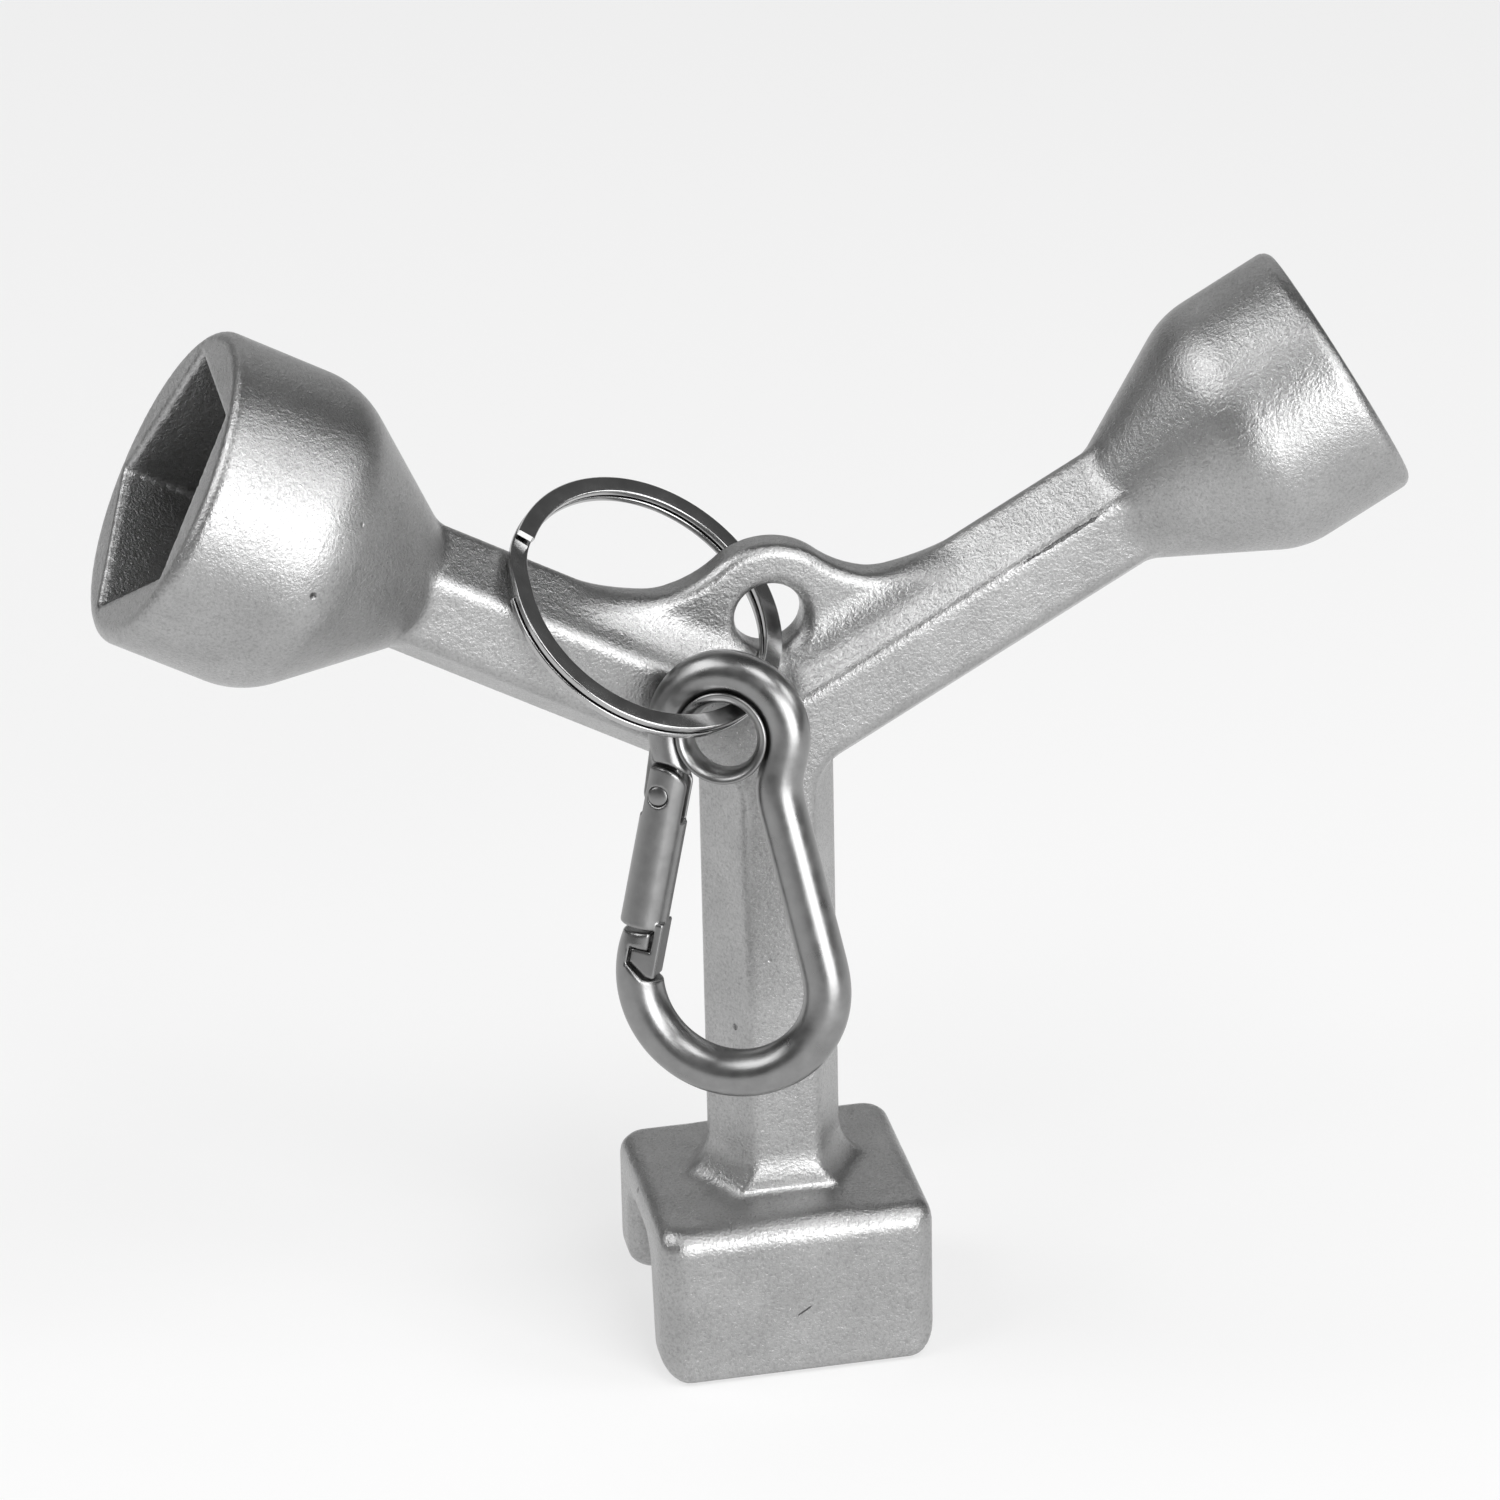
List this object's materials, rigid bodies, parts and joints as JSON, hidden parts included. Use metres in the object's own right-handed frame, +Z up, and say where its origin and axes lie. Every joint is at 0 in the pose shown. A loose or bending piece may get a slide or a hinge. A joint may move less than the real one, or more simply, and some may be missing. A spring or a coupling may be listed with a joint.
{
  "type": "hydrant wrench",
  "caption": "Cast steel three-way wrench with a five-sided socket, a square socket and a slotted head, carrying a split ring and a snap hook.",
  "frame": {"origin": "centre of the ceiling of the slot in the U head", "axes": "+Z up the stem to the hub, +X to the square socket's side, the five-sided socket on -X, and the hook hangs in front at -Y"},
  "size_m": [0.1669, 0.0514, 0.1452],
  "materials": {
    "cast_steel": "investment-cast stainless steel, bead-blasted to an even satin",
    "ring_steel": "bright rolled stainless strip",
    "hook_steel": "tumbled satin stainless wire",
    "spring_steel": "plain drawn spring steel"
  },
  "bodies": {
    "wrench": {"wrench_body": "cast_steel"},
    "ring": {"split_ring": "ring_steel"},
    "eyelet_sleeve": {"eyelet": "hook_steel"},
    "hook": {"hook_body": "hook_steel"},
    "gate_arm": {"gate": "hook_steel", "hinge_rivet": "hook_steel", "gate_spring": "spring_steel"},
    "plunger": {"gate_plunger": "spring_steel"}
  },
  "joints": [
    {"name": "ring_swing", "type": "hinge", "parent": "wrench", "child": "ring", "pos_m": [0.0007, 0, 0.08405], "axis": [0.0145, 0.8442, 0.5359], "range_deg": [0, 110]},
    {"name": "eyelet_swing", "type": "hinge", "parent": "ring", "child": "eyelet_sleeve", "pos_m": [-0.00817, -0.0149, 0.07877], "axis": [0.8242, 0.5651, -0.0365], "range_deg": [-12, 10]},
    {"name": "hook_turn", "type": "hinge", "parent": "eyelet_sleeve", "child": "hook", "pos_m": [-0.0081, -0.01515, 0.07669], "axis": [-0.4288, -0.8792, 0.2079], "range_deg": [-14, 40]},
    {"name": "gate_swing", "type": "hinge", "parent": "hook", "child": "gate_arm", "pos_m": [-0.0158, -0.01326, 0.06877], "axis": [-0.4288, -0.8792, 0.2079], "range_deg": [0, 26], "stiffness_Nm_per_rad": 0.03, "springref_deg": -34.38},
    {"name": "plunger_slide", "type": "slide", "parent": "gate_arm", "child": "plunger", "axis": [-0.2276, -0.1176, -0.9666], "range_m": [0, 0.00033], "deforming": ["gate_spring"]}
  ],
  "couplings": [
    {"joint": "plunger_slide", "follows": "gate_swing", "m_per_rad": 0.00072}
  ]
}
